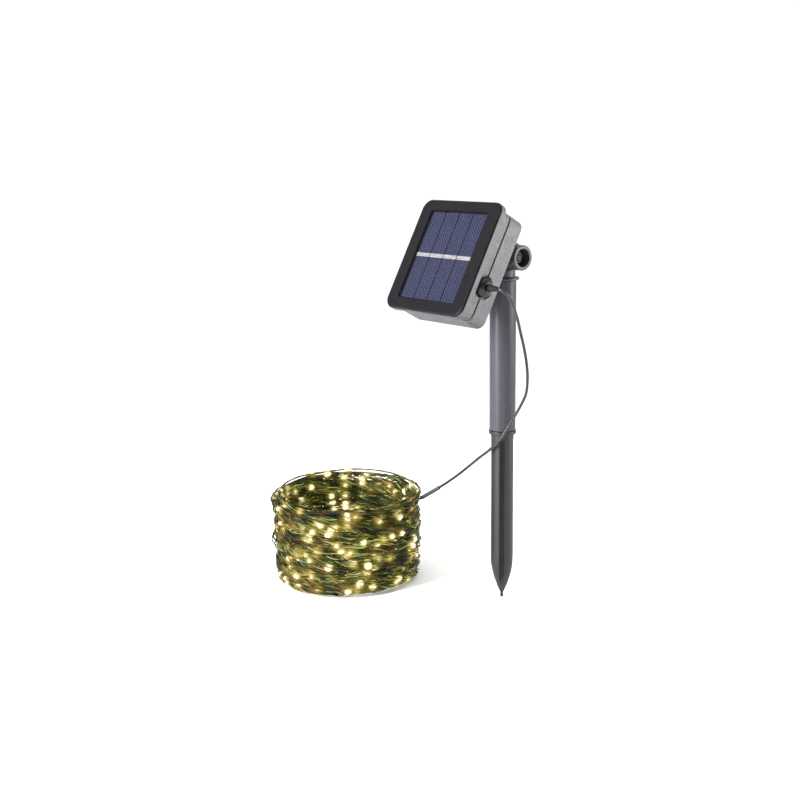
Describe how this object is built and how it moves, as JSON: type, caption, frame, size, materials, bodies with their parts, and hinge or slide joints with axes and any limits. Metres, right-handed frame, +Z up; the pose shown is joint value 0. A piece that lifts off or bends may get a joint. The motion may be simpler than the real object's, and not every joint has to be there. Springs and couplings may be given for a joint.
{
  "type": "solar string lights",
  "caption": "Tilting solar panel box on a plastic ground stake, with a thin lead running to a loose coil of warm string lights.",
  "frame": {"origin": "tip of the ground spike, on the stake's axis", "axes": "+Z up along the stake, the panel faces -Y and up, +X to the panel's right seen from the front, where the lead leaves it"},
  "size_m": [0.2628, 0.1443, 0.3402],
  "materials": {
    "housing_plastic": "fine moulded texture, charcoal grey",
    "bracket_plastic": "moulded charcoal grey",
    "stake_plastic": "smooth extruded tube, satin charcoal",
    "spike_plastic": "moulded, draw lines along its length",
    "seal_rubber": "soft matte black",
    "cell_silicon": "polycrystalline blue under resin, fine finger lines",
    "cell_ribbon": "tinned copper ribbon",
    "cell_board": "dark blue laminate",
    "clear_resin": "clear cast resin, flush with the frame",
    "zinc_steel": "zinc plated",
    "holder_plastic": "moulded black",
    "battery_wrap": "shrink wrap",
    "circuit_laminate": "green solder mask",
    "wire_red": "insulated wire",
    "wire_black": "insulated wire",
    "lead_jacket": "grey-green flexible jacket, slight sheen",
    "shrink_sleeve": "heat-shrink sleeve",
    "light_wire": "thin dark green insulated wires, loosely twisted"
  },
  "bodies": {
    "stake": {"ground_spike": "spike_plastic", "stake_tube": "stake_plastic", "lead_lower": "lead_jacket", "splice_sleeve": "shrink_sleeve", "light_string_coil": "light_wire"},
    "head": {"stake_head": "bracket_plastic", "lead_upper": "lead_jacket"},
    "panel": {"front_shell": "housing_plastic", "solar_backplate": "cell_board", "solar_cell_1": "cell_silicon", "solar_cell_2": "cell_silicon", "solar_cell_3": "cell_silicon", "solar_cell_4": "cell_silicon", "cell_ribbon_1": "cell_ribbon", "cell_ribbon_2": "cell_ribbon", "cell_ribbon_3": "cell_ribbon", "cell_ribbon_4": "cell_ribbon", "panel_window": "clear_resin", "housing_gasket": "seal_rubber", "rear_shell": "housing_plastic", "housing_screw_1": "zinc_steel", "housing_screw_2": "zinc_steel", "housing_screw_3": "zinc_steel", "housing_screw_4": "zinc_steel", "cable_gland": "housing_plastic", "strain_relief": "seal_rubber", "battery_holder": "holder_plastic", "battery_cell": "battery_wrap", "battery_spring": "zinc_steel", "battery_contact": "zinc_steel", "circuit_board": "circuit_laminate", "controller_chip": "holder_plastic", "inductor": "holder_plastic", "capacitor": "battery_wrap", "power_switch": "holder_plastic", "mode_switch": "holder_plastic", "solar_wire_plus": "wire_red", "solar_wire_minus": "wire_black", "panel_bracket": "bracket_plastic", "bracket_screw_1": "zinc_steel", "bracket_screw_2": "zinc_steel", "bracket_screw_3": "zinc_steel", "bracket_screw_4": "zinc_steel", "tilt_bolt": "zinc_steel", "tilt_nut": "zinc_steel", "tilt_washer_1": "zinc_steel", "tilt_washer_2": "zinc_steel"},
    "power_button": {"power_button": "seal_rubber"},
    "mode_button": {"mode_button": "seal_rubber"}
  },
  "joints": [
    {"name": "head_swivel", "type": "hinge", "parent": "stake", "child": "head", "pos_m": [0, 0, 0.275], "axis": [0, 0, 1], "range_deg": [-90, 90], "deforming": ["lead_lower"]},
    {"name": "panel_tilt", "type": "hinge", "parent": "head", "child": "panel", "pos_m": [0, 0, 0.294], "axis": [1, 0, 0], "range_deg": [-60, 27], "deforming": ["lead_upper"]},
    {"name": "power_button_press", "type": "slide", "parent": "panel", "child": "power_button", "axis": [0, -0.8746, 0.4848], "range_m": [0, 0.0007], "stiffness_N_per_m": 1200, "springref_m": -0.0006},
    {"name": "mode_button_press", "type": "slide", "parent": "panel", "child": "mode_button", "axis": [0, -0.8746, 0.4848], "range_m": [0, 0.0007], "stiffness_N_per_m": 1200, "springref_m": -0.0006}
  ]
}
